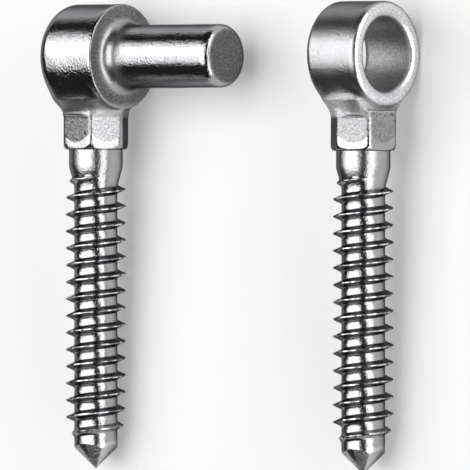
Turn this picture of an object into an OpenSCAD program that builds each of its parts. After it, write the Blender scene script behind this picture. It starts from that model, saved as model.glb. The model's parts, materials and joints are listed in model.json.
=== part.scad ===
// Hook and eye gate hinge: a hook screw with a pin and an eye screw that
// drops over it, both forged in one piece, lying side by side on a surface.
// Each screw is drawn with the middle of its head at the origin, its point
// towards -Z and its pin or bore along X, and is then laid down.

/* [Pin and eye] */
// Diameter of the hook's pin
pin_d = 16; // [12:0.5:20]
// Length of the pin, from the head's face to its end
pin_l = 34; // [25:1:60]
// Room between the pin and the bore, on the radius
bore_clearance = 1.05; // [0.4:0.05:1.5]
// Wall of the eye round its bore
eye_wall = 4.25; // [3.6:0.05:6]
// Width of the hook's head along its pin
head_w = 18.4; // [17.2:0.2:24]
// Width of the eye along its bore
eye_w = 16.5; // [15.5:0.1:24]

/* [Collar and neck] */
// Width of the six-sided collar across its flats
collar_flats = 15.25; // [14.5:0.05:16]
// Height of the collar
collar_h = 9.4; // [7:0.2:14]
// From the rim of the hook's head to its collar
hook_shoulder = 0.7; // [0.4:0.1:2]
// From the rim of the eye to its collar
eye_shoulder = 1.3; // [0.4:0.1:2]
// Turn of the hook's collar from its pin, in degrees
hook_collar_turn = 0; // [0:5:55]
// Turn of the eye's collar from its bore, in degrees
eye_collar_turn = 20; // [0:5:55]
// Diameter of the plain neck
neck_d = 13.55; // [12.6:0.05:14.2]
// Length of the plain neck
neck_l = 4.2; // [3:0.2:10]

/* [Wood screw thread] */
// Length of the shank, from the collar to the point's end
shank_l = 80.2; // [60:0.2:120]
// Outside diameter of the thread
thread_d = 15.1; // [14:0.1:15.8]
// Diameter of the core between the turns
core_d = 10.85; // [9.5:0.05:12]
// Rise of the thread in one turn
pitch = 4.25; // [3.6:0.05:5.5]
// Width of the thread's ridge at its root
ridge_w = 2.4; // [1.8:0.1:3]
// Angle between opposite sides of the four-sided point
point_angle = 82; // [70:2:90]

/* [Layout] */
// Distance between the axes of the two screws
spacing = 87.3; // [75:0.1:130]

/* [Hidden] */

// Roundings of the forged edges
back_edge_r = 4;
face_edge_r = 0.5;
pin_foot_r = 3;
pin_end_r = 2.3;
eye_edge_r = 1.8;
collar_corner_cut = 0.2;
collar_corner_drop = 2.2;
collar_corner_inset = 1.2;

// Blend from the heads to the collars
web_inset = 1.6;
web_bite = 0.15;
web_fillet_r = 8;
web_waist_r = 8.3;
web_corner_r = 10.6;
web_sink = 0.6;
flare_start_angle = 25;
flare_r = 9;

// Thread: width of its crest, lengths over which it rises and dies out, and
// what the neck's faceted end stands below the turned neck
crest_w = 0.3;
run_in = 0.7;
run_out = 5;
fade_in_l = 5.3;
fade_out_l = 5.1;
fade_in_gap = 0.5;
thread_end_gap = 1;
neck_step = 0.05;
neck_overlap = 1;
neck_trim = 0.3;
point_step = 0.1;

// How far the point's edges stand out from its sides: 0 is round, 1 is square
point_edge = 0.56;

// Steps in one turn of the thread, the steps from its start to the first
// place that faces the surface, and from there to an edge of the point
turn_steps = 32;
lead_steps = 8;
point_edge_steps = 3;
arc_steps = 8;
web_steps = 14;
$fn = 96;

bore_r = pin_d / 2 + bore_clearance;
head_r = bore_r + eye_wall;
hook_collar_z = head_r + hook_shoulder;
eye_collar_z = head_r + eye_shoulder;
collar_r = collar_flats / 2 / cos(30);
neck_r = neck_d / 2;
core_r = core_d / 2;
ridge_h = (thread_d - core_d) / 2;
crest_start = (ridge_w - crest_w) / 2;
down = 90;
steepness = tan(point_angle / 2);
thread_end = shank_l - core_r / steepness - thread_end_gap;
last_step = round((thread_end - neck_l - run_in - ridge_w / 2) * turn_steps / pitch);

// Both screws end at the same place, and the whole set is centred
hook_reach = (hook_collar_z + collar_h + shank_l) * cos(rest_tilt(hook_collar_z));
eye_reach = (eye_collar_z + collar_h + shank_l) * cos(rest_tilt(eye_collar_z));
head_y = (max(hook_reach, eye_reach) - head_r) / 2;
hook_x = (head_w - eye_w) / 4 - spacing / 2;
eye_x = hook_x + spacing;

// Points of an arc, with its ends
function arc(centre, r, from, to, steps = arc_steps) =
    [for (i = [0 : steps])
        let (a = from + (to - from) * i / steps)
        [centre[0] + r * cos(a), centre[1] + r * sin(a)]];

// A number held between 0 and 1
function share(x) = max(0, min(1, x));

// Thread: angle of a step, its distance below the collar, and how much of
// the ridge's height stands there
function step_angle(t) = down - 360 * (t + lead_steps) / turn_steps;
function step_z(t) = neck_l + run_in + pitch * t / turn_steps;
function ridge_share(z) =
    share((z - neck_l - fade_in_gap) / fade_in_l) * share((thread_end - z) / fade_out_l);

// Radius of the shank without its thread: the taper under the neck, then the core
function plain_r(z) =
    let (neck_end_r = neck_r - neck_step)
    neck_end_r + (core_r - neck_end_r) * share((z - neck_l) / run_out);

// Radius at which the four slightly rounded sides of the point cut the shank
function point_r(z, angle) =
    let (turn = angle - down + 360 * point_edge_steps / turn_steps - 45)
    let (off_side = turn - 90 * round(turn / 90))
    (shank_l - z) * steepness / pow(cos(off_side), point_edge);

function thread_r(z, angle, top) =
    min(max(plain_r(z), core_r + ridge_h * top * ridge_share(z)), point_r(z, angle));

function shank_point(z, angle, r) = [r * cos(angle), r * sin(angle), -z];

function thread_row(first, last, offset, top) =
    [for (t = [first : last])
        let (a = step_angle(t), z = step_z(t) + offset)
        shank_point(z, a, thread_r(z, a, top))];

// Where the point's sides start, never above the thread's last turn
function point_start(t) =
    let (a = step_angle(t))
    let (reach = point_r(0, a) / shank_l)
    max(shank_l - core_r / reach, step_z(t) + point_step);

// The tilt at which the head and the thread touch the surface together
function rest_tilt(collar_z) =
    min([for (k = [1 : floor((last_step + lead_steps) / turn_steps)])
        let (z = step_z(turn_steps * k - lead_steps) + crest_start + crest_w)
        let (s = collar_z + collar_h + z, r = thread_r(z, down, 1))
        asin(head_r / norm([s, r])) - atan2(r, s)]);

// Triangles between two rows of points, and from one point to a row
function band(upper, lower) =
    [for (i = [0 : len(upper) - 2])
        each [[upper[i], lower[i], lower[i + 1]], [upper[i], lower[i + 1], upper[i + 1]]]];
function fan(tip, rim) = [for (i = [0 : len(rim) - 2]) [tip, rim[i], rim[i + 1]]];
function span(start, first, last) = [for (t = [first : last]) start + t];
function ring(start, first, last) = [for (t = [first : last]) start + t % turn_steps];

// The tapered, threaded and pointed shank, below the plain neck
module threaded_shank() {
    n = turn_steps;
    neck_ring = [for (t = [0 : n - 1])
        shank_point(neck_l - neck_overlap, step_angle(t), plain_r(0))];
    taper_ring = [for (t = [0 : n - 1]) shank_point(neck_l, step_angle(t), plain_r(neck_l))];
    root = thread_row(0, last_step + n, 0, 0);
    crest_upper = thread_row(0, last_step, crest_start, 1);
    crest_lower = thread_row(0, last_step, crest_start + crest_w, 1);
    foot = thread_row(0, last_step, ridge_w, 0);
    point_ring = [for (j = [0 : n - 1])
        let (t = last_step + 1 + (j - (last_step + 1) % n + n) % n)
        let (a = step_angle(t), z = point_start(t))
        shank_point(z, a, point_r(z, a))];
    ends = [[0, 0, neck_overlap - neck_l], [0, 0, -shank_l]];

    taper_at = n;
    root_at = taper_at + n;
    upper_at = root_at + last_step + n + 1;
    lower_at = upper_at + last_step + 1;
    foot_at = lower_at + last_step + 1;
    point_at = foot_at + last_step + 1;
    top_at = point_at + n;
    tip_at = top_at + 1;
    e = last_step;

    polyhedron(
        points = concat(neck_ring, taper_ring, root, crest_upper, crest_lower, foot,
            point_ring, ends),
        faces = concat(
            [for (t = [0 : n - 1]) [t, (t + 1) % n, top_at]],
            band(ring(0, 0, n), ring(taper_at, 0, n)),
            band(span(taper_at, 0, n - 1), span(root_at, 0, n - 1)),
            fan(root_at + n - 1, [root_at + n, foot_at, lower_at, upper_at, root_at, taper_at,
                taper_at + n - 1]),
            band(span(root_at, 0, e), span(upper_at, 0, e)),
            band(span(upper_at, 0, e), span(lower_at, 0, e)),
            band(span(lower_at, 0, e), span(foot_at, 0, e)),
            band(span(foot_at, 0, e), span(root_at, n, e + n)),
            fan(root_at + e + 1, [root_at + e, upper_at + e, lower_at + e, foot_at + e,
                root_at + e + n, point_at + e % n, point_at + (e + 1) % n]),
            band(span(root_at, e + 1, e + n), ring(point_at, e + 1, e + n)),
            [for (t = [0 : n - 1]) [point_at + t, tip_at, point_at + (t + 1) % n]]));
}

// The six-sided collar, its corners rounded off above its underside
module collar(turn) {
    limit_r = collar_r - collar_corner_cut;
    intersection() {
        translate([0, 0, -collar_h]) rotate(turn) cylinder(h = collar_h, r = collar_r, $fn = 6);
        rotate_extrude()
            polygon(concat(
                [[0, 0], [0, -collar_h]],
                [for (p = arc([0, 0], 1, -90, 0))
                    [limit_r - collar_corner_inset + collar_corner_inset * p[0],
                        -collar_h + collar_corner_drop + collar_corner_drop * p[1]]],
                [[limit_r, 0]]));
    }
}

// The neck blending a round head into its collar: as thick as the head, with
// hollow sides that leave the round head, and turned down to the collar
module web(collar_z, width) {
    inner_r = (bore_r + head_r) / 2;
    bite_r = head_r - web_bite;
    fillet_v = web_waist_r + web_fillet_r;
    fillet_z = sqrt(pow(bite_r + web_fillet_r, 2) - pow(fillet_v, 2));
    lean = atan2(fillet_v, fillet_z);
    side = arc([fillet_v, fillet_z], web_fillet_r, 270 - lean, 180, web_steps);
    thickness = width - 2 * web_inset;
    intersection() {
        rotate([90, 0, 90])
            translate([0, 0, -thickness / 2])
                linear_extrude(thickness)
                    polygon(concat(
                        [for (p = side) [p[0], -p[1]]],
                        [[web_waist_r, -collar_z - web_sink], [-web_waist_r, -collar_z - web_sink]],
                        [for (i = [len(side) - 1 : -1 : 0]) [-side[i][0], -side[i][1]]],
                        arc([0, 0], inner_r, 270 - lean, 270 + lean, web_steps)));
        flare(collar_z);
    }
}

// Round outline that draws the neck in to the collar
module flare(collar_z) {
    foot_r = web_waist_r;
    centre = [foot_r + flare_r * cos(flare_start_angle),
        -collar_z - flare_r * sin(flare_start_angle)];
    flare_end = acos((web_corner_r - centre[0]) / flare_r);
    rotate_extrude()
        polygon(concat(
            [[0, -collar_z - web_sink], [foot_r, -collar_z - web_sink]],
            arc(centre, flare_r, 180 - flare_start_angle, flare_end),
            [[web_corner_r, 0], [0, 0]]));
}

// Collar, neck and shank below a head
module screw(collar_z, turn, width) {
    web(collar_z, width);
    translate([0, 0, -collar_z]) {
        collar(turn);
        translate([0, 0, -collar_h]) {
            translate([0, 0, neck_trim - neck_l]) cylinder(h = neck_l, r = neck_r);
            threaded_shank();
        }
    }
}

// The hook's round head and its pin, turned as one
module pin_head() {
    back = -head_w / 2;
    face = head_w / 2;
    end = face + pin_l;
    pin_r = pin_d / 2;
    rotate([0, 90, 0])
        rotate_extrude()
            polygon(concat(
                [[0, back]],
                arc([head_r - back_edge_r, back + back_edge_r], back_edge_r, -90, 0),
                arc([head_r - face_edge_r, face - face_edge_r], face_edge_r, 0, 90),
                arc([pin_r + pin_foot_r, face + pin_foot_r], pin_foot_r, 270, 180),
                arc([pin_r - pin_end_r, end - pin_end_r], pin_end_r, 0, 90),
                [[0, end]]));
}

// The eye's ring, with soft edges and a straight bore
module eye_ring() {
    half = eye_w / 2 - eye_edge_r;
    outer = head_r - eye_edge_r;
    inner = bore_r + eye_edge_r;
    rotate([0, 90, 0])
        rotate_extrude()
            polygon(concat(
                arc([outer, -half], eye_edge_r, -90, 0),
                arc([outer, half], eye_edge_r, 0, 90),
                arc([inner, half], eye_edge_r, 90, 180),
                arc([inner, -half], eye_edge_r, 180, 270)));
}

// Lays a screw down: its head and its thread touch the surface, z = 0
module lay(x, collar_z) {
    translate([x, head_y, head_r]) rotate([rest_tilt(collar_z) - 90, 0, 0]) children();
}

module hook() {
    color("silver")
        lay(hook_x, hook_collar_z) {
            pin_head();
            screw(hook_collar_z, hook_collar_turn, head_w);
        }
}

module eye() {
    color("silver")
        lay(eye_x, eye_collar_z) {
            eye_ring();
            screw(eye_collar_z, eye_collar_turn, eye_w);
        }
}

hook();
eye();
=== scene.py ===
import json
import math

import bpy
import numpy as np
from mathutils import Matrix, Vector, noise


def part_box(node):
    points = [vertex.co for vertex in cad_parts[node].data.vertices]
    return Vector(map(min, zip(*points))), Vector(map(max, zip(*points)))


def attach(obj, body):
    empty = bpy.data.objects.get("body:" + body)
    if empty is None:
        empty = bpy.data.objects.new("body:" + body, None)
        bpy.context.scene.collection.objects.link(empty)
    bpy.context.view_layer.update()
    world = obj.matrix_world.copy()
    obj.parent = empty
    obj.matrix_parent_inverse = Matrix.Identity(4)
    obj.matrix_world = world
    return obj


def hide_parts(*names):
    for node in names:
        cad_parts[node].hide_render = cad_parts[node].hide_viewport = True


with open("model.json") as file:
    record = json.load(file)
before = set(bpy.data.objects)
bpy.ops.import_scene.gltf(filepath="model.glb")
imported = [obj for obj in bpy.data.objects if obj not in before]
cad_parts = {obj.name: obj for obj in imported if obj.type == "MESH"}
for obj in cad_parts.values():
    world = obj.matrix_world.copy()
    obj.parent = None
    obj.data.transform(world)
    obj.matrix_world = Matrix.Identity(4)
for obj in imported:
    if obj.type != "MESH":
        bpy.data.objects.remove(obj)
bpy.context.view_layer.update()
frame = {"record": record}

# Blender works in metres, and the sizes below are in millimetres
MM = 0.001

MOUNTS = {m["name"]: m for m in frame["record"]["mounts"]}
PIN_R = MOUNTS["pin"]["dims"]["r_mm"]
BORE_R = MOUNTS["eye_bore"]["dims"]["r_mm"]
HOOK_LO, HOOK_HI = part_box("hook")
EYE_LO, EYE_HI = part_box("eye")

# Heads
HEAD_R = HOOK_HI[2] / MM / 2
HOOK_W = 18.4
EYE_W = (EYE_HI[0] - EYE_LO[0]) / MM
PIN_END = (HOOK_HI[0] - HOOK_LO[0]) / MM - HOOK_W / 2
BACK_EDGE_R = 4.0
FACE_EDGE_R = 0.6
PIN_FOOT_R = 3.0
PIN_END_R = 2.4
EYE_EDGE_R = 2.0
BORE_BACK_R = 3.0

# Web between head and collar: half its thickness along V, its fillets, and how
# far it is set back from the head's face, from its back and from its rim. It
# runs from WEB_TOP below the head's middle to WEB_SINK inside the collar, and
# flares upwards from the collar.
WEB_HALF = 8.3
WEB_FILLET_R = 8.0
WEB_INSET = 2.0
WEB_BACK_INSET = 0.8
WEB_BITE = 0.8
WEB_TOP = 5.0
WEB_SINK = 0.5
WEB_CORNER_R = 10.6
FLARE_SLOPE = 0.48
FLARE_CURVE = 0.074
FLARE_STEEPNESS = 0.85

# Collar and plain neck
COLLAR_FLATS = 15.25
COLLAR_H = 9.4
COLLAR_CORNER_R = 8.6
COLLAR_DROP = 2.2
COLLAR_INSET = 1.3
COLLAR_SINK = 0.6
HOOK_COLLAR_Z = HEAD_R + 0.7
EYE_COLLAR_Z = HEAD_R + 1.3
HOOK_COLLAR_TURN = 0
EYE_COLLAR_TURN = 20
NECK_R = 6.77
NECK_L = 4.2

# How softly the forged forms run into each other
HOOK_WEB_BLEND = 2.0
EYE_WEB_BLEND = 1.2
WEB_SLAB_BLEND = 1.6
WEB_FLARE_BLEND = 2.0
WEB_FOOT_BLEND = 0.3
FLATS_BLEND = 0.25
CORNERS_BLEND = 0.3
UNDERSIDE_BLEND = 0.6
COLLAR_BLEND = 0.9

# Lack of trueness of the forging: broad swells, closer ones, and how far the
# surface is let in to make up for them
SWELL = 0.05
SWELL_PER_MM = 0.16
CLOSE_SWELL = 0.008
CLOSE_SWELL_PER_MM = 0.5
CLOSE_SWELL_FROM = (7, 3, 1)
LET_IN = 0.035

# Thread and point, measured along the shank from the collar's underside. Angles
# are in degrees, and DOWN is the one that looks at the floor.
SHANK_L = 80.2
THREAD_R = 7.55
CORE_R = 5.425
PITCH = 4.25
RIDGE_W = 2.4
CREST_W = 0.3
RUN_IN = 0.7
RUN_OUT = 5.0
FADE_GAP = 0.5
FADE_IN = 5.3
FADE_OUT = 5.1
POINT_ANGLE = 82
POINT_EDGE = 0.56
THREAD_END_GAP = 1.0
LEAD_TURN = 0.25
POINT_EDGE_TURN = 3 / 32
POINT_MID = 2.4
POINT_GAP = 0.1
NECK_ROWS = (-0.6, 0.4, 1.2, 2.0, 2.8, 3.6, NECK_L)
DOWN = 90

# Wear of the ridge where it stands WORN_FROM above the core, and painted glints,
# lighter colour in broken stretches, where it has more than CREST_FROM of its
# height. Noise is read along a circle, and a wider circle brings its swells
# closer together.
WORN_FROM = 0.3
CREST_FROM = 0.95
WEAR_LEAST = 0.02
WEAR_BROAD = 0.16
WEAR_CIRCLE = 4.0
WEAR_PER_MM = 0.5
CHIPS = 0.07
CHIPS_CIRCLE = 13
CHIPS_PER_MM = 2.5
GLINT_CIRCLE = 6.5
GLINT_RISE = 0.8
GLINT_MEAN = 0.35
GLINT_CONTRAST = 2.4
GLINT_RANGE = 1.4
GLINT_LEAST = 0.4
# Painted highlight: lighter colour on the point's facets
POINT_HIGHLIGHT = 0.5

# Mesh steps
TURN_STEPS = 96
CELL = 0.32
GRID_MARGIN = 1.3
SHARP_ANGLE = 38
LEAST_SLOPE = 0.05
LONGEST_MOVE = 0.4

HOOK_X = HOOK_LO[0] / MM + HOOK_W / 2
EYE_X = MOUNTS["eye_bore"]["pos_m"][0] / MM
HEAD_Y = MOUNTS["pin"]["pos_m"][1] / MM

# Camera: the pin points VIEW_TILT degrees out of the picture's plane, and the
# middle between the two heads is seen at HEADS_MID_PX
VIEW_TILT = 40
LENS = 1200
VIEW_WIDTH = 117.5
IMAGE_PX = 470
HEADS_MID_PX = (228.65, 55.7)
NEAREST_SEEN = 0.05
FARTHEST_SEEN = 50


# Camera

def make_camera():
    tilt = math.radians(VIEW_TILT)
    lean = rest_tilt(HOOK_COLLAR_Z)
    up = Vector((0, math.cos(lean), math.sin(lean)))
    out = Vector((0, -math.sin(lean), math.cos(lean)))
    back = math.cos(tilt) * out + Vector((math.sin(tilt), 0, 0))
    right = up.cross(back)
    px = VIEW_WIDTH / IMAGE_PX
    heads = Vector(((HOOK_X + EYE_X) / 2, HEAD_Y, HEAD_R))
    target = heads - right * (HEADS_MID_PX[0] - IMAGE_PX / 2) * px
    target += up * (HEADS_MID_PX[1] - IMAGE_PX / 2) * px
    data = bpy.data.cameras.new("camera")
    data.lens = LENS
    camera = bpy.data.objects.new("camera", data)
    bpy.context.scene.collection.objects.link(camera)
    distance = VIEW_WIDTH * LENS / data.sensor_width
    camera.location = (target + back * distance) * MM
    camera.rotation_mode = "QUATERNION"
    camera.rotation_quaternion = Matrix((right, up, back)).transposed().to_quaternion()
    data.clip_start = NEAREST_SEEN
    data.clip_end = FARTHEST_SEEN
    bpy.context.scene.camera = camera


# Solid shapes as distance fields, in a screw's own frame: the middle of its
# head at the origin, the point towards -Z, the pin or bore along X, and the
# side that lies on the floor towards V

def rounded_box(a, b, half_a, half_b, r):
    qa = np.abs(a) - half_a + r
    qb = np.abs(b) - half_b + r
    outside = np.hypot(np.maximum(qa, 0), np.maximum(qb, 0))
    return np.minimum(np.maximum(qa, qb), 0) + outside - r


def soft_min(a, b, k):
    h = np.clip(0.5 + 0.5 * (b - a) / k, 0, 1)
    return b + (a - b) * h - k * h * (1 - h)


def soft_max(a, b, k):
    return -soft_min(-a, -b, k)


def fillet_min(a, b, r):
    corner = np.hypot(np.maximum(r - a, 0), np.maximum(r - b, 0))
    return np.maximum(r, np.minimum(a, b)) - corner


def flare_radius(z, collar_z):
    rise = np.maximum(z + collar_z, 0)
    return np.minimum(WEB_HALF + FLARE_SLOPE * rise + FLARE_CURVE * rise ** 2, WEB_CORNER_R)


def web_field(p, collar_z, width):
    x, v, z = p
    rim = np.hypot(v, z) - (HEAD_R - WEB_BITE)
    strip = np.maximum(np.abs(v) - WEB_HALF, z)
    outline = fillet_min(rim, strip, WEB_FILLET_R)
    slab = np.maximum(x + WEB_INSET, -x + WEB_BACK_INSET) - width / 2
    flare = (np.hypot(x, v) - flare_radius(z, collar_z)) * FLARE_STEEPNESS
    web = soft_max(soft_max(outline, slab, WEB_SLAB_BLEND), flare, WEB_FLARE_BLEND)
    foot = -z - collar_z - WEB_SINK
    return soft_max(np.maximum(web, z + WEB_TOP), foot, WEB_FOOT_BLEND)


def flat_distances(x, v, turn):
    """Distance outside each of the collar's three pairs of flats."""
    sides = []
    for k in range(3):
        a = math.radians(turn + 30 + 60 * k)
        sides.append(np.abs(x * math.cos(a) + v * math.sin(a)) - COLLAR_FLATS / 2)
    return sides


def collar_limit(z, collar_z):
    """Radius that the collar's corners are turned down to, rounded in above its underside."""
    rise = z + collar_z + COLLAR_H
    t = np.clip(1 - rise / COLLAR_DROP, 0, 1)
    return COLLAR_CORNER_R - COLLAR_INSET * (1 - np.sqrt(1 - t ** 2))


def collar_field(p, collar_z, turn):
    x, v, z = p
    a, b, c = flat_distances(x, v, turn)
    flats = soft_max(soft_max(a, b, FLATS_BLEND), c, FLATS_BLEND)
    round_off = np.hypot(x, v) - collar_limit(z, collar_z)
    collar = soft_max(flats, round_off, CORNERS_BLEND)
    collar = soft_max(collar, -z - collar_z - COLLAR_H, UNDERSIDE_BLEND)
    return np.maximum(collar, z + collar_z - COLLAR_SINK)


def hook_field(p):
    x, v, z = p
    rho = np.hypot(v, z)
    edge = np.where(x > 0, FACE_EDGE_R, BACK_EDGE_R)
    head = rounded_box(rho, x, HEAD_R, HOOK_W / 2, edge)
    body = soft_min(head, web_field(p, HOOK_COLLAR_Z, HOOK_W), HOOK_WEB_BLEND)
    body = np.maximum(body, np.abs(x) - HOOK_W / 2)
    pin = rounded_box(rho, x - PIN_END / 2, PIN_R, PIN_END / 2, PIN_END_R)
    body = fillet_min(body, pin, PIN_FOOT_R)
    return soft_min(body, collar_field(p, HOOK_COLLAR_Z, HOOK_COLLAR_TURN), COLLAR_BLEND)


def eye_field(p):
    x, v, z = p
    rho = np.hypot(v, z)
    wall = (HEAD_R - BORE_R) / 2
    inner_back = (rho < BORE_R + BORE_BACK_R) & (x < 0)
    ring = rounded_box(rho - BORE_R - wall, x, wall, EYE_W / 2, EYE_EDGE_R)
    lead_in = rounded_box(rho - BORE_R - wall, x, wall, EYE_W / 2, BORE_BACK_R)
    ring = np.where(inner_back, np.maximum(ring, lead_in), ring)
    body = soft_min(ring, web_field(p, EYE_COLLAR_Z, EYE_W), EYE_WEB_BLEND)
    body = np.maximum(body, np.abs(x) - EYE_W / 2)
    body = np.maximum(body, BORE_R - rho)
    return soft_min(body, collar_field(p, EYE_COLLAR_Z, EYE_COLLAR_TURN), COLLAR_BLEND)


# Surface of a field: one point in each cell that the surface crosses, moved
# onto the surface

def beside(index, others, back):
    """Cells beside the grid edges at index, each one stepped back on the other two axes."""
    at = index.copy()
    at[:, others] -= back
    return tuple(at.T)


def edge_crossings(values, low, cell, axis):
    """Grid edges along one axis that the surface crosses, where it crosses them, and
    whether each starts inside."""
    near = [slice(None)] * 3
    far = [slice(None)] * 3
    near[axis], far[axis] = slice(None, -1), slice(1, None)
    inside = values < 0
    index = np.argwhere(inside[tuple(near)] != inside[tuple(far)])
    step = np.zeros(3, int)
    step[axis] = 1
    a = values[tuple(index.T)]
    b = values[tuple((index + step).T)]
    place = np.array(low) + cell * index
    place[:, axis] += cell * a / (a - b)
    return index, place, a < 0


def cell_quads(number, axis, index, others, outward):
    """A quad round each crossed edge, between the points of the four cells beside it."""
    corners = [number[beside(index, others, back)] for back in ((1, 1), (0, 1), (0, 0), (1, 0))]
    quads = np.stack(corners, axis=1)
    flip = outward if axis == 1 else ~outward
    quads[flip] = quads[flip][:, ::-1]
    return quads


def field_surface(field, low, high, cell):
    """Points on the field's surface, and the quads between them, facing outwards."""
    axes = [np.arange(low[i], high[i] + cell, cell) for i in range(3)]
    values = field(np.meshgrid(*axes, indexing="ij"))
    shape = tuple(n - 1 for n in values.shape)
    summed = np.zeros(shape + (3,))
    count = np.zeros(shape)
    crossings = []
    for axis in range(3):
        index, place, outward = edge_crossings(values, low, cell, axis)
        others = [i for i in range(3) if i != axis]
        for back in ((0, 0), (0, 1), (1, 0), (1, 1)):
            cells = beside(index, others, back)
            np.add.at(summed, cells, place)
            np.add.at(count, cells, 1)
        crossings.append((index, others, outward))
    used = np.argwhere(count > 0)
    number = -np.ones(shape, int)
    number[tuple(used.T)] = np.arange(len(used))
    points = summed[tuple(used.T)] / count[tuple(used.T)][:, None]
    quads = [cell_quads(number, axis, *crossing) for axis, crossing in enumerate(crossings)]
    return settle(field, points, cell), np.concatenate(quads)


def gradient(field, points, h=0.02):
    """Slope of the field at each point, which looks outwards on its surface."""
    out = np.empty_like(points)
    for i in range(3):
        step = np.zeros(3)
        step[i] = h
        ahead = field((points + step).T)
        behind = field((points - step).T)
        out[:, i] = (ahead - behind) / (2 * h)
    return out


def settle(field, points, cell, rounds=5):
    """Move points onto the surface, less than half a cell in each round."""
    for _ in range(rounds):
        slope = gradient(field, points)
        size = np.maximum((slope ** 2).sum(axis=1), LEAST_SLOPE)
        move = -(field(points.T) / size)[:, None] * slope
        length = np.linalg.norm(move, axis=1, keepdims=True)
        points = points + move * np.minimum(1, LONGEST_MOVE * cell / np.maximum(length, 1e-9))
    return points


# Threaded shank: a ridge that winds round the core, with its own start, run
# out and four-sided point. Its axis is Z, with the collar's underside at 0.

def share(x):
    """A value kept between nothing and all."""
    return max(0.0, min(1.0, x))


STEEPNESS = math.tan(math.radians(POINT_ANGLE / 2))
THREAD_END = SHANK_L - CORE_R / STEEPNESS - THREAD_END_GAP
LAST_STEP = round((THREAD_END - NECK_L - RUN_IN - RIDGE_W / 2) * TURN_STEPS / PITCH)


def step_angle(t):
    return DOWN - 360 * (t / TURN_STEPS + LEAD_TURN)


def step_z(t):
    return NECK_L + RUN_IN + PITCH * t / TURN_STEPS


def ridge_share(z):
    """How much of the ridge's height stands this far down the shank."""
    rise = share((z - NECK_L - FADE_GAP) / FADE_IN)
    return rise * share((THREAD_END - z) / FADE_OUT)


def plain_r(z):
    """Radius of the shank between its ridges: the neck, then a taper to the core."""
    t = share((z - NECK_L) / RUN_OUT)
    return NECK_R + (CORE_R - NECK_R) * t


def point_r(z, angle):
    """Radius of the four-sided point."""
    turn = angle - DOWN + 360 * POINT_EDGE_TURN - 45
    off_side = turn - 90 * round(turn / 90)
    return (SHANK_L - z) * STEEPNESS / math.cos(math.radians(off_side)) ** POINT_EDGE


def thread_r(z, angle, top):
    """Radius of the shank where this much of the ridge's height stands."""
    ridge = CORE_R + (THREAD_R - CORE_R) * top * ridge_share(z)
    return min(max(plain_r(z), ridge), point_r(z, angle))


def rest_tilt(collar_z):
    """Lean of a screw that lies on its head's rim and on a crest of its thread."""
    crest = (RIDGE_W + CREST_W) / 2
    turns = math.floor(LAST_STEP / TURN_STEPS + LEAD_TURN)
    tilts = []
    for k in range(1, turns + 1):
        z = step_z((k - LEAD_TURN) * TURN_STEPS) + crest
        s = collar_z + COLLAR_H + z
        r = thread_r(z, DOWN, 1)
        tilts.append(math.asin(HEAD_R / math.hypot(s, r)) - math.atan2(r, s))
    return min(tilts)


# Places across the ridge, and how much of its height stands there
RIDGE = [(0.2, 0.06), (0.4, 0.26), (0.85, 0.74), (1.02, 0.96), (1.08, 1.0), (1.32, 1.0),
         (1.38, 0.96), (1.55, 0.74), (2.0, 0.26), (2.2, 0.06), (2.4, 0), (3.2, 0)]


def noise_along(angle, circle, z, seed):
    """Smooth noise along the thread, read on a circle of the given radius."""
    a = math.radians(angle)
    return noise.noise(Vector((math.cos(a) * circle, math.sin(a) * circle, z + seed)))


def wear(z, angle, top, seed):
    """How much the crest has lost, in millimetres."""
    broad = WEAR_BROAD * abs(noise_along(angle, WEAR_CIRCLE, z * WEAR_PER_MM, seed))
    chips = CHIPS * abs(noise_along(angle, CHIPS_CIRCLE, z * CHIPS_PER_MM, seed))
    return top ** 3 * (WEAR_LEAST + broad + chips)


def glint(z, angle, r, seed):
    """Painted glints on the crest: lighter colour in broken stretches, with darker
    ones between.
    """
    painted_glint = share(GLINT_MEAN + GLINT_CONTRAST * noise_along(angle, GLINT_CIRCLE, z, seed))
    return share((r - plain_r(z)) / GLINT_RISE) * (GLINT_RANGE * painted_glint - GLINT_LEAST)


def shank_faces(rings, root, rows, shoulder, mid, top, tip):
    """Faces between the rows of a shank, from its neck down to its tip."""
    n, e = TURN_STEPS, LAST_STEP
    faces = []

    def band(upper, lower):
        for i in range(len(upper) - 1):
            faces.append((upper[i], upper[i + 1], lower[i + 1], lower[i]))

    def fan(apex, rim):
        for i in range(len(rim) - 1):
            faces.append((apex, rim[i + 1], rim[i]))

    fan(top, rings[0])
    for upper, lower in zip(rings, rings[1:]):
        band(upper, lower)
    foot = rings[-1]
    band(foot[:n], root[:n])
    seam = [row[0] for row in reversed(rows)]
    fan(root[n - 1], [root[n], *seam, root[0], foot[0], foot[n - 1]])
    ladder = [root[:e + 1], *rows, root[n:e + n + 1]]
    for upper, lower in zip(ladder, ladder[1:]):
        band(upper, lower)
    fan(root[e + 1], [root[e], *[row[e] for row in rows], root[e + n], *shoulder[:2]])
    band(root[e + 1:e + n + 1], shoulder[1:])
    band(shoulder, mid)
    for i in range(n):
        faces.append((mid[i], mid[i + 1], tip))
    return faces


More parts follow.
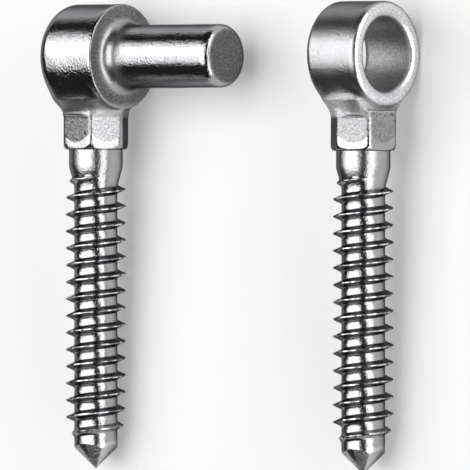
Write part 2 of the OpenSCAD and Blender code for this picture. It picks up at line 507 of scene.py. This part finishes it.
def shank_mesh(seed):
    """Points and faces of a shank, and each point's painted light: glints on its
    crest and a highlight on its point.
    """
    n, e = TURN_STEPS, LAST_STEP
    points = []
    painted_lights = []

    def put(z, angle, r, painted_light=0):
        a = math.radians(angle)
        points.append((r * math.cos(a), r * math.sin(a), -z))
        painted_lights.append(painted_light)
        return len(points) - 1

    def ring_row(z, r):
        row = [put(z, step_angle(t), r) for t in range(n)]
        return row + row[:1]

    def ridge_point(t, offset, top):
        z = step_z(t) + offset
        a = step_angle(t)
        r = thread_r(z, a, top)
        if r > CORE_R + WORN_FROM:
            r -= wear(z, a, top, seed)
        # Crest points carry painted glints
        return put(z, a, r, glint(z, a, r, seed) if top > CREST_FROM else 0)

    def point_row(height):
        """A row round the point, which starts and ends where the ridge ends."""
        row = []
        for t in range(e + 1, e + n + 1):
            z, a = height(t), step_angle(t)
            # The point's rows carry its painted highlight
            row.append(put(z, a, min(CORE_R, point_r(z, a)), POINT_HIGHLIGHT))
        return row[-1:] + row

    def shoulder_z(t):
        return max(SHANK_L - CORE_R * SHANK_L / point_r(0, step_angle(t)), step_z(t) + POINT_GAP)

    rings = [ring_row(z, NECK_R) for z in NECK_ROWS]
    root = [ridge_point(t, 0, 0) for t in range(e + n + 1)]
    rows = [[ridge_point(t, offset, top) for t in range(e + 1)] for offset, top in RIDGE]
    shoulder = point_row(shoulder_z)
    mid = point_row(lambda t: SHANK_L - POINT_MID)
    top = put(NECK_ROWS[0], 0, 0)
    # The tip carries the point's painted highlight too
    tip = put(SHANK_L, 0, 0, POINT_HIGHLIGHT)
    return points, shank_faces(rings, root, rows, shoulder, mid, top, tip), painted_lights


# Pieces

def lay_matrix(x, collar_z):
    """From a screw's own frame, in millimetres, to the place where it lies, in metres."""
    turn = Matrix.Rotation(rest_tilt(collar_z) - math.pi / 2, 4, "X")
    return Matrix.Translation((x * MM, HEAD_Y * MM, HEAD_R * MM)) @ turn @ Matrix.Scale(MM, 4)


def forged_unevenness(p):
    """Small lack of trueness of a forged and plated surface, in millimetres."""
    broad = noise.noise(Vector(p) * SWELL_PER_MM)
    close = noise.noise(Vector(p) * CLOSE_SWELL_PER_MM + Vector(CLOSE_SWELL_FROM))
    return SWELL * broad + CLOSE_SWELL * close - LET_IN


def step_up(values, low, high):
    """Smooth step from nothing at low to all at high."""
    t = np.clip((values - low) / (high - low), 0, 1)
    return t * t * (3 - 2 * t)


def step_down(values, low, high):
    """Smooth step from all at low to nothing at high."""
    return step_up(-values, -high, -low)


# Finish, with its places in millimetres. The crinkled middles of the collar's
# flats, whose colour is also painted a little darker as shade, fade out towards
# its corners and its top, and end in an arch below.
FLAT_NEAR = 0.08
FLAT_FAR = 0.2
CRINKLE_FULL = 3.7
CRINKLE_END = 4.0
ARCH_LOW = 1.9
ARCH_RISE = 2.4
ARCH_HALF = 4.4
ARCH_FADE = 0.35
COLLAR_TOP_FULL = 0.1
COLLAR_TOP_END = 0.3

# Ends: how squarely a face looks along X before it counts as one
HOOK_END_FACING = 0.8
EYE_END_FACING = 0.45
END_FACING_FULL = 0.07
END_FROM = 1
END_FULL = 3
# Painted shade on the hook's head face, which is also dull, and deeper painted shade on its pin's
# end
HEAD_END_DULL_SHADE = 0.92
PIN_END_DEEPER_SHADE = 0.28
# Painted light on the eye's ends
EYE_END_PAINTED_LIGHT = 0.75

# Other shares of the hook and of the eye
# Painted shade, with a duller finish, on the hook's topmost flat
TOP_FLAT_DULL_SHADE = 0.85
TOP_FLAT_ANGLE = 60
FOOT_FULL = 2
FOOT_END = 9
FOOT_FADE = 0.3
# Painted shade, with a duller finish, on the eye's flats and on its barrel
FLATS_DULL_SHADE = 0.3
BARREL_DULL_SHADE = 0.18
BARREL_SATIN = 0.7
BARREL_SATIN_FULL = -HEAD_R * 0.6
BORE_SATIN = 1.6
BORE_SATIN_END = HEAD_R - 1
INWARD_FROM = 0.3
INWARD_FULL = 0.8
HOOK_WEB_SATIN = 1.4
EYE_WEB_SATIN = 2.1
WEB_LOW_FROM = 1.6
WEB_LOW_FULL = 0.4
WEB_HIGH_FULL = HEAD_R - 1
WEB_HIGH_END = 8.0
# Painted light on the back of the eye's web, and where it is full and where it ends
WEB_PAINTED_LIGHT = 0.55
WEB_PAINTED_LIGHT_FULL = 1
WEB_PAINTED_LIGHT_END = 4

# Satin of the shank: a little all over, and more on its plain neck
SHANK_SATIN = 0.3
NECK_SATIN = 0.4
NECK_SATIN_END = 7.5
NECK_SATIN_FADE = 3


def facet_share(points, collar_z, turn):
    """Middles of the collar's flats, which the forging left crinkled and whose colour
    is painted a little darker as shade.
    """
    x, v, z = points.T
    nearest = np.abs(np.array(flat_distances(x, v, turn))).min(axis=0)
    along = np.sqrt(np.maximum(x ** 2 + v ** 2 - (COLLAR_FLATS / 2) ** 2, 0))
    rise = z + collar_z + COLLAR_H
    arch = ARCH_LOW + ARCH_RISE * (along / ARCH_HALF) ** 2
    middle = step_down(nearest, FLAT_NEAR, FLAT_FAR) * step_down(along, CRINKLE_FULL, CRINKLE_END)
    below_top = step_down(z, -collar_z - COLLAR_TOP_FULL, -collar_z + COLLAR_TOP_END)
    return middle * step_up(rise, arch, arch + ARCH_FADE) * below_top


def end_share(points, normals, collar_z, least):
    """Faces that look along X: a head's and its pin's, above the collar."""
    facing = step_up(np.abs(normals[:, 0]), least, (1 + least) / 2 + END_FACING_FULL)
    return facing * step_up(points[:, 2], END_FROM - collar_z, END_FULL - collar_z)


def web_share(points, collar_z):
    """The web between the head and the collar, left rougher than the head."""
    z = points[:, 2]
    above_collar = step_up(z, -collar_z - WEB_LOW_FROM, -collar_z - WEB_LOW_FULL)
    return above_collar * step_up(-z, WEB_HIGH_END, WEB_HIGH_FULL)


def foot_share(points):
    """Foot of the pin, where the forging left it rough."""
    x = points[:, 0]
    face = HOOK_W / 2
    return step_down(x, face + FOOT_FULL, face + FOOT_END) * step_up(x, face - FOOT_FADE, face)


def ring_share(points, normals):
    """Satin of the eye: fullest in its bore, less on its barrel."""
    v, z = points.T[1:]
    rho = np.hypot(v, z)
    inward = -(normals[:, 1] * v + normals[:, 2] * z) / np.maximum(rho, 1e-6)
    bore = step_up(inward, INWARD_FROM, INWARD_FULL) * (rho < BORE_SATIN_END)
    barrel = step_up(z, -EYE_COLLAR_Z, BARREL_SATIN_FULL)
    return np.maximum(BORE_SATIN * bore, BARREL_SATIN * barrel)


def hook_finish(points, normals, crinkle_and_shade):
    """Dull, with painted shade, on the hook's ends and its topmost flat; satin on
    its web and its pin's foot.
    """
    x, v = points.T[:2]
    # The topmost flat gets painted shade
    top_flat_shade = crinkle_and_shade * (v < -np.abs(x) * math.tan(math.radians(TOP_FLAT_ANGLE)))
    ends = end_share(points, normals, HOOK_COLLAR_Z, HOOK_END_FACING)
    # The ends get painted shade, deeper on the pin's end
    ends = ends * (HEAD_END_DULL_SHADE + PIN_END_DEEPER_SHADE * (x > HOOK_W))
    web = web_share(points, HOOK_COLLAR_Z)
    return {
        "crinkle_and_shade": crinkle_and_shade,
        "dull_and_shade": np.maximum(ends, TOP_FLAT_DULL_SHADE * top_flat_shade),
        "satin": np.maximum(foot_share(points), HOOK_WEB_SATIN * web),
        "painted_light": crinkle_and_shade * 0,
    }


def eye_finish(points, normals, crinkle_and_shade):
    """Painted light on the eye's ends and the back of its web; satin on the rest,
    with painted shade on its flats and barrel.
    """
    ends = end_share(points, normals, EYE_COLLAR_Z, EYE_END_FACING)
    satin = ring_share(points, normals) * (1 - ends)
    # Back side of the web, which gets painted light
    back = step_down(points[:, 0], WEB_PAINTED_LIGHT_FULL, WEB_PAINTED_LIGHT_END)
    web = web_share(points, EYE_COLLAR_Z)
    return {
        "crinkle_and_shade": crinkle_and_shade,
        # The flats and the barrel get painted shade
        "dull_and_shade": np.maximum(FLATS_DULL_SHADE * crinkle_and_shade, BARREL_DULL_SHADE * satin),
        "satin": np.maximum(satin, EYE_WEB_SATIN * web),
        # The ends and the back of the web get painted light
        "painted_light": np.maximum(EYE_END_PAINTED_LIGHT * ends, WEB_PAINTED_LIGHT * back * web),
    }


def shank_satin(z):
    return SHANK_SATIN + NECK_SATIN * share((NECK_SATIN_END + z) / NECK_SATIN_FADE)


def add_attribute(mesh, name, values):
    layer = mesh.attributes.new(name, "FLOAT", "POINT")
    layer.data.foreach_set("value", np.asarray(values, dtype=np.float32))


def forged_head(field, reach, collar_z, width):
    """Points, quads and outward normals of a head with its web and collar."""
    low = np.array((-width / 2, -HEAD_R, -collar_z - COLLAR_H)) - GRID_MARGIN
    high = np.array((reach, HEAD_R, HEAD_R)) + GRID_MARGIN
    points, quads = field_surface(field, low, high, CELL)
    slope = gradient(field, points)
    return points, quads, slope / np.linalg.norm(slope, axis=1, keepdims=True)


def make_screw(name, field, finish, reach, x, collar_z, turn, width, seed):
    """One forged screw: head, web and collar from a field, and its shank."""
    points, quads, normals = forged_head(field, reach, collar_z, width)
    shares = finish(points, normals, facet_share(points, collar_z, turn))
    offset = np.array([forged_unevenness(p) for p in points])
    points = points + normals * offset[:, None]

    # The shank brings its painted glints and its point's painted highlight
    shank, bands, painted_lights = shank_mesh(seed)
    shank_shares = {"satin": [shank_satin(p[2]) for p in shank], "painted_light": painted_lights}
    plain = [0] * len(shank)
    drop = Vector((0, 0, -collar_z - COLLAR_H))
    count = len(points)
    vertices = [Vector(p) for p in points] + [Vector(p) + drop for p in shank]
    faces = quads.tolist() + [tuple(count + i for i in face) for face in bands]

    mesh = bpy.data.meshes.new(name)
    place = lay_matrix(x, collar_z)
    mesh.from_pydata([place @ p for p in vertices], [], faces)
    for key, values in shares.items():
        add_attribute(mesh, key, np.concatenate([values, shank_shares.get(key, plain)]))
    mesh.validate()
    mesh.shade_smooth()
    mesh.set_sharp_from_angle(angle=math.radians(SHARP_ANGLE))
    screw = bpy.data.objects.new(name, mesh)
    bpy.context.scene.collection.objects.link(screw)
    return screw


# Zinc plating: size in millimetres, detail and roughness of each pattern
GRAIN_NOISE = (0.6, 2, 0.6)
SPECKLE_NOISE = (0.55, 2, 0.7)
CRUMPLE_NOISE = (0.65, 2, 0.6)
CLOUD_NOISE = (6.0, 3, 0.5)

# How much each share of the surface counts for: the height of the grain, of the
# speckle and of the crumple, then roughness, flecks and brightness
GRAIN = {"satin": -0.045, "painted_light": -0.06, "all": 0.085}
SPECKLE = {"dull_and_shade": 0.1, "satin": 0.05, "painted_light": 0.08}
CRUMPLE = {"crinkle_and_shade": 0.07}
ROUGHNESS = {"cloud": 0.06, "dull_and_shade": 0.25, "satin": 0.2, "painted_light": 0.1, "crinkle_and_shade": 0.15,
             "all": 0.08}
FLECKS = {"dull_and_shade": 0.9, "satin": 0.5, "painted_glint": 4.5, "crinkle_and_shade": 1.0}
# Brightness: painted shade where dull or crinkled, painted light and glints where bright
BRIGHTNESS = {"dull_and_shade": -0.52, "crinkle_and_shade": -0.12, "painted_light": 1.1, "all": 1.0, "flecks": 1.0}
ZINC_TONE = {"cloud": 0.1, "all": 0.34}
ZINC_BLUE = 1.02
ZINC_TINT = (0.12, 0.12, 0.13, 1)


def node(tree, kind, **inputs):
    made = tree.nodes.new(kind)
    for key, value in inputs.items():
        made.inputs[key.replace("_", " ")].default_value = value
    return made


def noise_node(tree, place, size, detail, rough):
    made = node(tree, "ShaderNodeTexNoise", Scale=1 / (size * MM), Detail=detail, Roughness=rough)
    tree.links.new(place, made.inputs["Vector"])
    return made.outputs["Fac"]


def math_node(tree, operation, a, b):
    made = tree.nodes.new("ShaderNodeMath")
    made.operation = operation
    for socket, value in zip(made.inputs, (a, b)):
        if isinstance(value, (int, float)):
            socket.default_value = value
        else:
            tree.links.new(value, socket)
    return made.outputs[0]


def attribute(tree, name):
    made = tree.nodes.new("ShaderNodeAttribute")
    made.attribute_name = name
    return made.outputs["Fac"]


def weigh(tree, shares, weights):
    """Sum of shares, each times its weight."""
    result = 0.0
    for name, weight in weights.items():
        result = math_node(tree, "ADD", math_node(tree, "MULTIPLY", shares[name], weight), result)
    return result


def zinc_patterns(tree):
    """Grain, speckle, crumple and cloud, and the shares of the surface."""
    place = tree.nodes.new("ShaderNodeTexCoord").outputs["Object"]
    shares = {name: attribute(tree, name) for name in ("crinkle_and_shade", "dull_and_shade", "satin", "painted_light")}
    shares["all"] = 1.0
    shares["cloud"] = noise_node(tree, place, *CLOUD_NOISE)
    grain = noise_node(tree, place, *GRAIN_NOISE)
    speckle = noise_node(tree, place, *SPECKLE_NOISE)
    crumple = noise_node(tree, place, *CRUMPLE_NOISE)
    return grain, speckle, crumple, shares


def zinc_normal(tree, grain, speckle, crumple, shares):
    heights = {"grain": grain, "crumple": crumple, "speckle": speckle}
    depths = {
        "grain": weigh(tree, shares, GRAIN),
        "crumple": weigh(tree, shares, CRUMPLE),
        "speckle": weigh(tree, shares, SPECKLE),
    }
    bump = node(tree, "ShaderNodeBump", Strength=1.0, Distance=1.0 * MM)
    tree.links.new(weigh(tree, heights, depths), bump.inputs["Height"])
    return bump.outputs["Normal"]


def zinc_colour(tree, speckle, shares):
    # Painted glints: the squared painted light sharpens the flecks on the thread's crests
    shares["painted_glint"] = math_node(tree, "MULTIPLY", shares["painted_light"], shares["painted_light"])
    shares["flecks"] = math_node(tree, "MULTIPLY", math_node(tree, "SUBTRACT", speckle, 0.5),
                                 weigh(tree, shares, FLECKS))
    # Painted light and shade: the shares lighten or darken the zinc's colour
    shade = math_node(tree, "MULTIPLY", weigh(tree, shares, BRIGHTNESS),
                      weigh(tree, shares, ZINC_TONE))
    tone = tree.nodes.new("ShaderNodeCombineColor")
    tree.links.new(shade, tone.inputs["Red"])
    tree.links.new(shade, tone.inputs["Green"])
    tree.links.new(math_node(tree, "MULTIPLY", shade, ZINC_BLUE), tone.inputs["Blue"])
    return tone.outputs["Color"]


def zinc():
    """Bright zinc on forged steel: mirror-like and grainy, dull on the hook's ends,
    satin in the eye and crinkled on the collar's flats. Its colour carries painted
    shade on the hook's ends, the collar's flats and the eye's barrel, and painted
    light and glints on the eye's ends, the back of its web, the thread's crests
    and the point."""
    material = bpy.data.materials.new("zinc_plating")
    material.use_nodes = True
    tree = material.node_tree
    shader = tree.nodes["Principled BSDF"]
    shader.inputs["Metallic"].default_value = 1
    shader.inputs["Specular Tint"].default_value = ZINC_TINT
    grain, speckle, crumple, shares = zinc_patterns(tree)
    tree.links.new(zinc_normal(tree, grain, speckle, crumple, shares), shader.inputs["Normal"])
    tree.links.new(weigh(tree, shares, ROUGHNESS), shader.inputs["Roughness"])
    tree.links.new(zinc_colour(tree, speckle, shares), shader.inputs["Base Color"])
    return material


# Studio: a pale floor that pales further away, two soft boxes overhead and a
# bright card beside. Sizes in metres.
FLOOR_SIZE = 30
FLOOR_COLOUR = 0.69
FLOOR_GLOW = 0.2
FAR_GLOW = 0.8
GLOW_NEAR = 0.6
GLOW_FAR = 2.4

# The room, by the height that is looked at: pale along the floor's edge, dark above
ROOM_PALE = 0.85
ROOM_DARK = 0.03
PALE_UP_TO = 0.02
DARK_FROM = 0.07

# Each lamp's centre, the point that it faces, its width and its height
LAMP_RADIANCE = 2.8
LAMPS = {
    "overhead_softbox": ((-0.175, 0.07, 0.62), (-0.175, 0.07, 0), 0.89, 0.70),
    "corner_softbox": ((-0.79, 0.35, 0.62), (-0.79, 0.35, 0), 0.34, 0.66),
    "side_card": ((0.7, 0, 0.21), (0, 0, 0.21), 2.4, 0.42),
}


def grey(level):
    return (level, level, level, 1)


def floor_glow(tree):
    """Glow of the floor, for the camera and for what mirrors or lets through."""
    path = tree.nodes.new("ShaderNodeLightPath")
    seen = math_node(tree, "ADD", path.outputs["Is Camera Ray"], path.outputs["Is Glossy Ray"])
    seen = math_node(tree, "ADD", seen, path.outputs["Is Transmission Ray"])
    seen = math_node(tree, "MINIMUM", seen, 1)
    away = tree.nodes.new("ShaderNodeVectorMath")
    away.operation = "LENGTH"
    tree.links.new(tree.nodes.new("ShaderNodeTexCoord").outputs["Object"], away.inputs[0])
    level = node(tree, "ShaderNodeMapRange", From_Min=GLOW_NEAR, From_Max=GLOW_FAR,
                 To_Min=FLOOR_GLOW, To_Max=FAR_GLOW)
    tree.links.new(away.outputs["Value"], level.inputs["Value"])
    glow = node(tree, "ShaderNodeEmission", Color=grey(1))
    tree.links.new(math_node(tree, "MULTIPLY", seen, level.outputs["Result"]),
                   glow.inputs["Strength"])
    return glow.outputs[0]


def floor_paper():
    material = bpy.data.materials.new("floor_paper")
    material.use_nodes = True
    tree = material.node_tree
    tree.nodes.clear()
    paper = node(tree, "ShaderNodeBsdfDiffuse", Color=grey(FLOOR_COLOUR))
    both = tree.nodes.new("ShaderNodeAddShader")
    tree.links.new(paper.outputs[0], both.inputs[0])
    tree.links.new(floor_glow(tree), both.inputs[1])
    out = tree.nodes.new("ShaderNodeOutputMaterial")
    tree.links.new(both.outputs[0], out.inputs["Surface"])
    return material


def make_floor():
    mesh = bpy.data.meshes.new("floor")
    half = FLOOR_SIZE / 2
    mesh.from_pydata([(-half, -half, 0), (half, -half, 0), (half, half, 0), (-half, half, 0)],
                     [], [(0, 1, 2, 3)])
    floor = bpy.data.objects.new("floor", mesh)
    bpy.context.scene.collection.objects.link(floor)
    mesh.materials.append(floor_paper())


def area_light(name, centre, aim, width, height):
    """A rectangular lamp whose face has the lamps' brightness, hidden from the camera."""
    data = bpy.data.lights.new(name, "AREA")
    data.shape = "RECTANGLE"
    data.size = width
    data.size_y = height
    data.energy = LAMP_RADIANCE * math.pi * width * height
    lamp = bpy.data.objects.new(name, data)
    lamp.location = centre
    direction = Vector(aim) - Vector(centre)
    lamp.rotation_mode = "QUATERNION"
    lamp.rotation_quaternion = direction.to_track_quat("-Z", "Y")
    lamp.visible_camera = False
    bpy.context.scene.collection.objects.link(lamp)


def make_room():
    """A dark room above a pale band along the floor's edge."""
    world = bpy.data.worlds.new("studio")
    world.use_nodes = True
    tree = world.node_tree
    direction = tree.nodes.new("ShaderNodeTexCoord").outputs["Generated"]
    parts = tree.nodes.new("ShaderNodeSeparateXYZ")
    tree.links.new(direction, parts.inputs[0])
    ramp = tree.nodes.new("ShaderNodeValToRGB")
    pale, dark = ramp.color_ramp.elements
    pale.position, pale.color = PALE_UP_TO, grey(ROOM_PALE)
    dark.position, dark.color = DARK_FROM, grey(ROOM_DARK)
    tree.links.new(parts.outputs["Z"], ramp.inputs["Fac"])
    tree.links.new(ramp.outputs["Color"], tree.nodes["Background"].inputs["Color"])
    bpy.context.scene.world = world


def make_studio():
    make_floor()
    make_room()
    for name, lamp in LAMPS.items():
        area_light(name, *lamp)
    bpy.context.scene.view_settings.view_transform = "Standard"


make_camera()
make_studio()
PLATING = zinc()
SCREWS = {
    "hook": make_screw("hook_forging", hook_field, hook_finish, reach=PIN_END, x=HOOK_X,
                       collar_z=HOOK_COLLAR_Z, turn=HOOK_COLLAR_TURN, width=HOOK_W, seed=3.0),
    "eye": make_screw("eye_forging", eye_field, eye_finish, reach=EYE_W / 2, x=EYE_X,
                      collar_z=EYE_COLLAR_Z, turn=EYE_COLLAR_TURN, width=EYE_W, seed=11.0),
}
for node_name, screw in SCREWS.items():
    screw.data.materials.append(PLATING)
    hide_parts(node_name)
    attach(screw, node_name)
